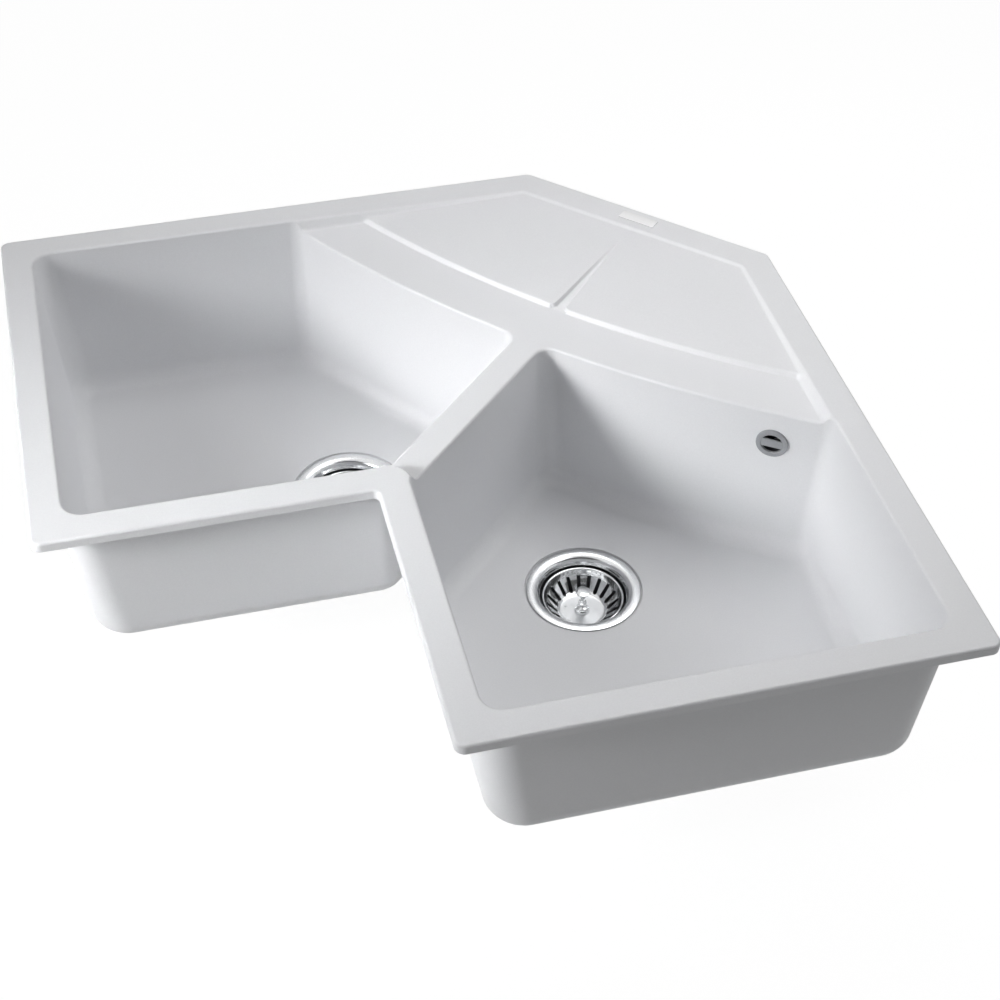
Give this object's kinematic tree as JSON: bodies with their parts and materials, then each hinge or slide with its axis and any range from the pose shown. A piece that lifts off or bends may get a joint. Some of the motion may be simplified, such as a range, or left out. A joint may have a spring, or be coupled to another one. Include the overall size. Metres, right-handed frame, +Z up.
{
  "type": "corner kitchen sink",
  "caption": "White corner kitchen sink with a bowl in each arm, a curved drainer between them at the back, lift-out strainers and an overflow piped to the waste.",
  "frame": {"origin": "the point of the rim's flat underside on the mirror plane of the two arms, 20 mm in from both edges of the notch; Z is zero on that underside, where the sink rests on the worktop", "axes": "+X along the right arm's long wall side, +Y along the left arm's long wall side towards the back, both walls of the room corner are beyond +X and +Y, +Z up"},
  "size_m": [0.83, 0.83, 0.2918],
  "materials": {
    "composite": "satin",
    "plate": "satin",
    "foam": "matte",
    "polished_steel": "polished",
    "rubber": "matte",
    "matt_grey": "satin",
    "black_plastic": "matte",
    "white_plastic": "satin"
  },
  "bodies": {
    "sink": {"sink_body": "composite", "name_plate": "plate", "rim_seal": "foam", "left_flange": "polished_steel", "left_flange_seal": "rubber", "left_body": "black_plastic", "left_body_gasket": "rubber", "left_screw": "polished_steel", "right_flange": "polished_steel", "right_flange_seal": "rubber", "right_body": "black_plastic", "right_body_gasket": "rubber", "right_screw": "polished_steel", "overflow_ring": "matt_grey", "overflow_gasket": "rubber", "overflow_body": "black_plastic", "overflow_pipe_down": "white_plastic", "overflow_elbow": "black_plastic", "overflow_pipe_level": "white_plastic", "pipe_nuts": "black_plastic"},
    "left_strainer": {"left_basket": "polished_steel", "left_basket_post": "polished_steel", "left_basket_plug": "rubber"},
    "right_strainer": {"right_basket": "polished_steel", "right_basket_post": "polished_steel", "right_basket_plug": "rubber"}
  },
  "joints": [
    {"name": "left_strainer_lift", "type": "slide", "parent": "sink", "child": "left_strainer", "axis": [0, 0, 1], "range_m": [0, 0.24]},
    {"name": "right_strainer_lift", "type": "slide", "parent": "sink", "child": "right_strainer", "axis": [0, 0, 1], "range_m": [0, 0.24]}
  ]
}
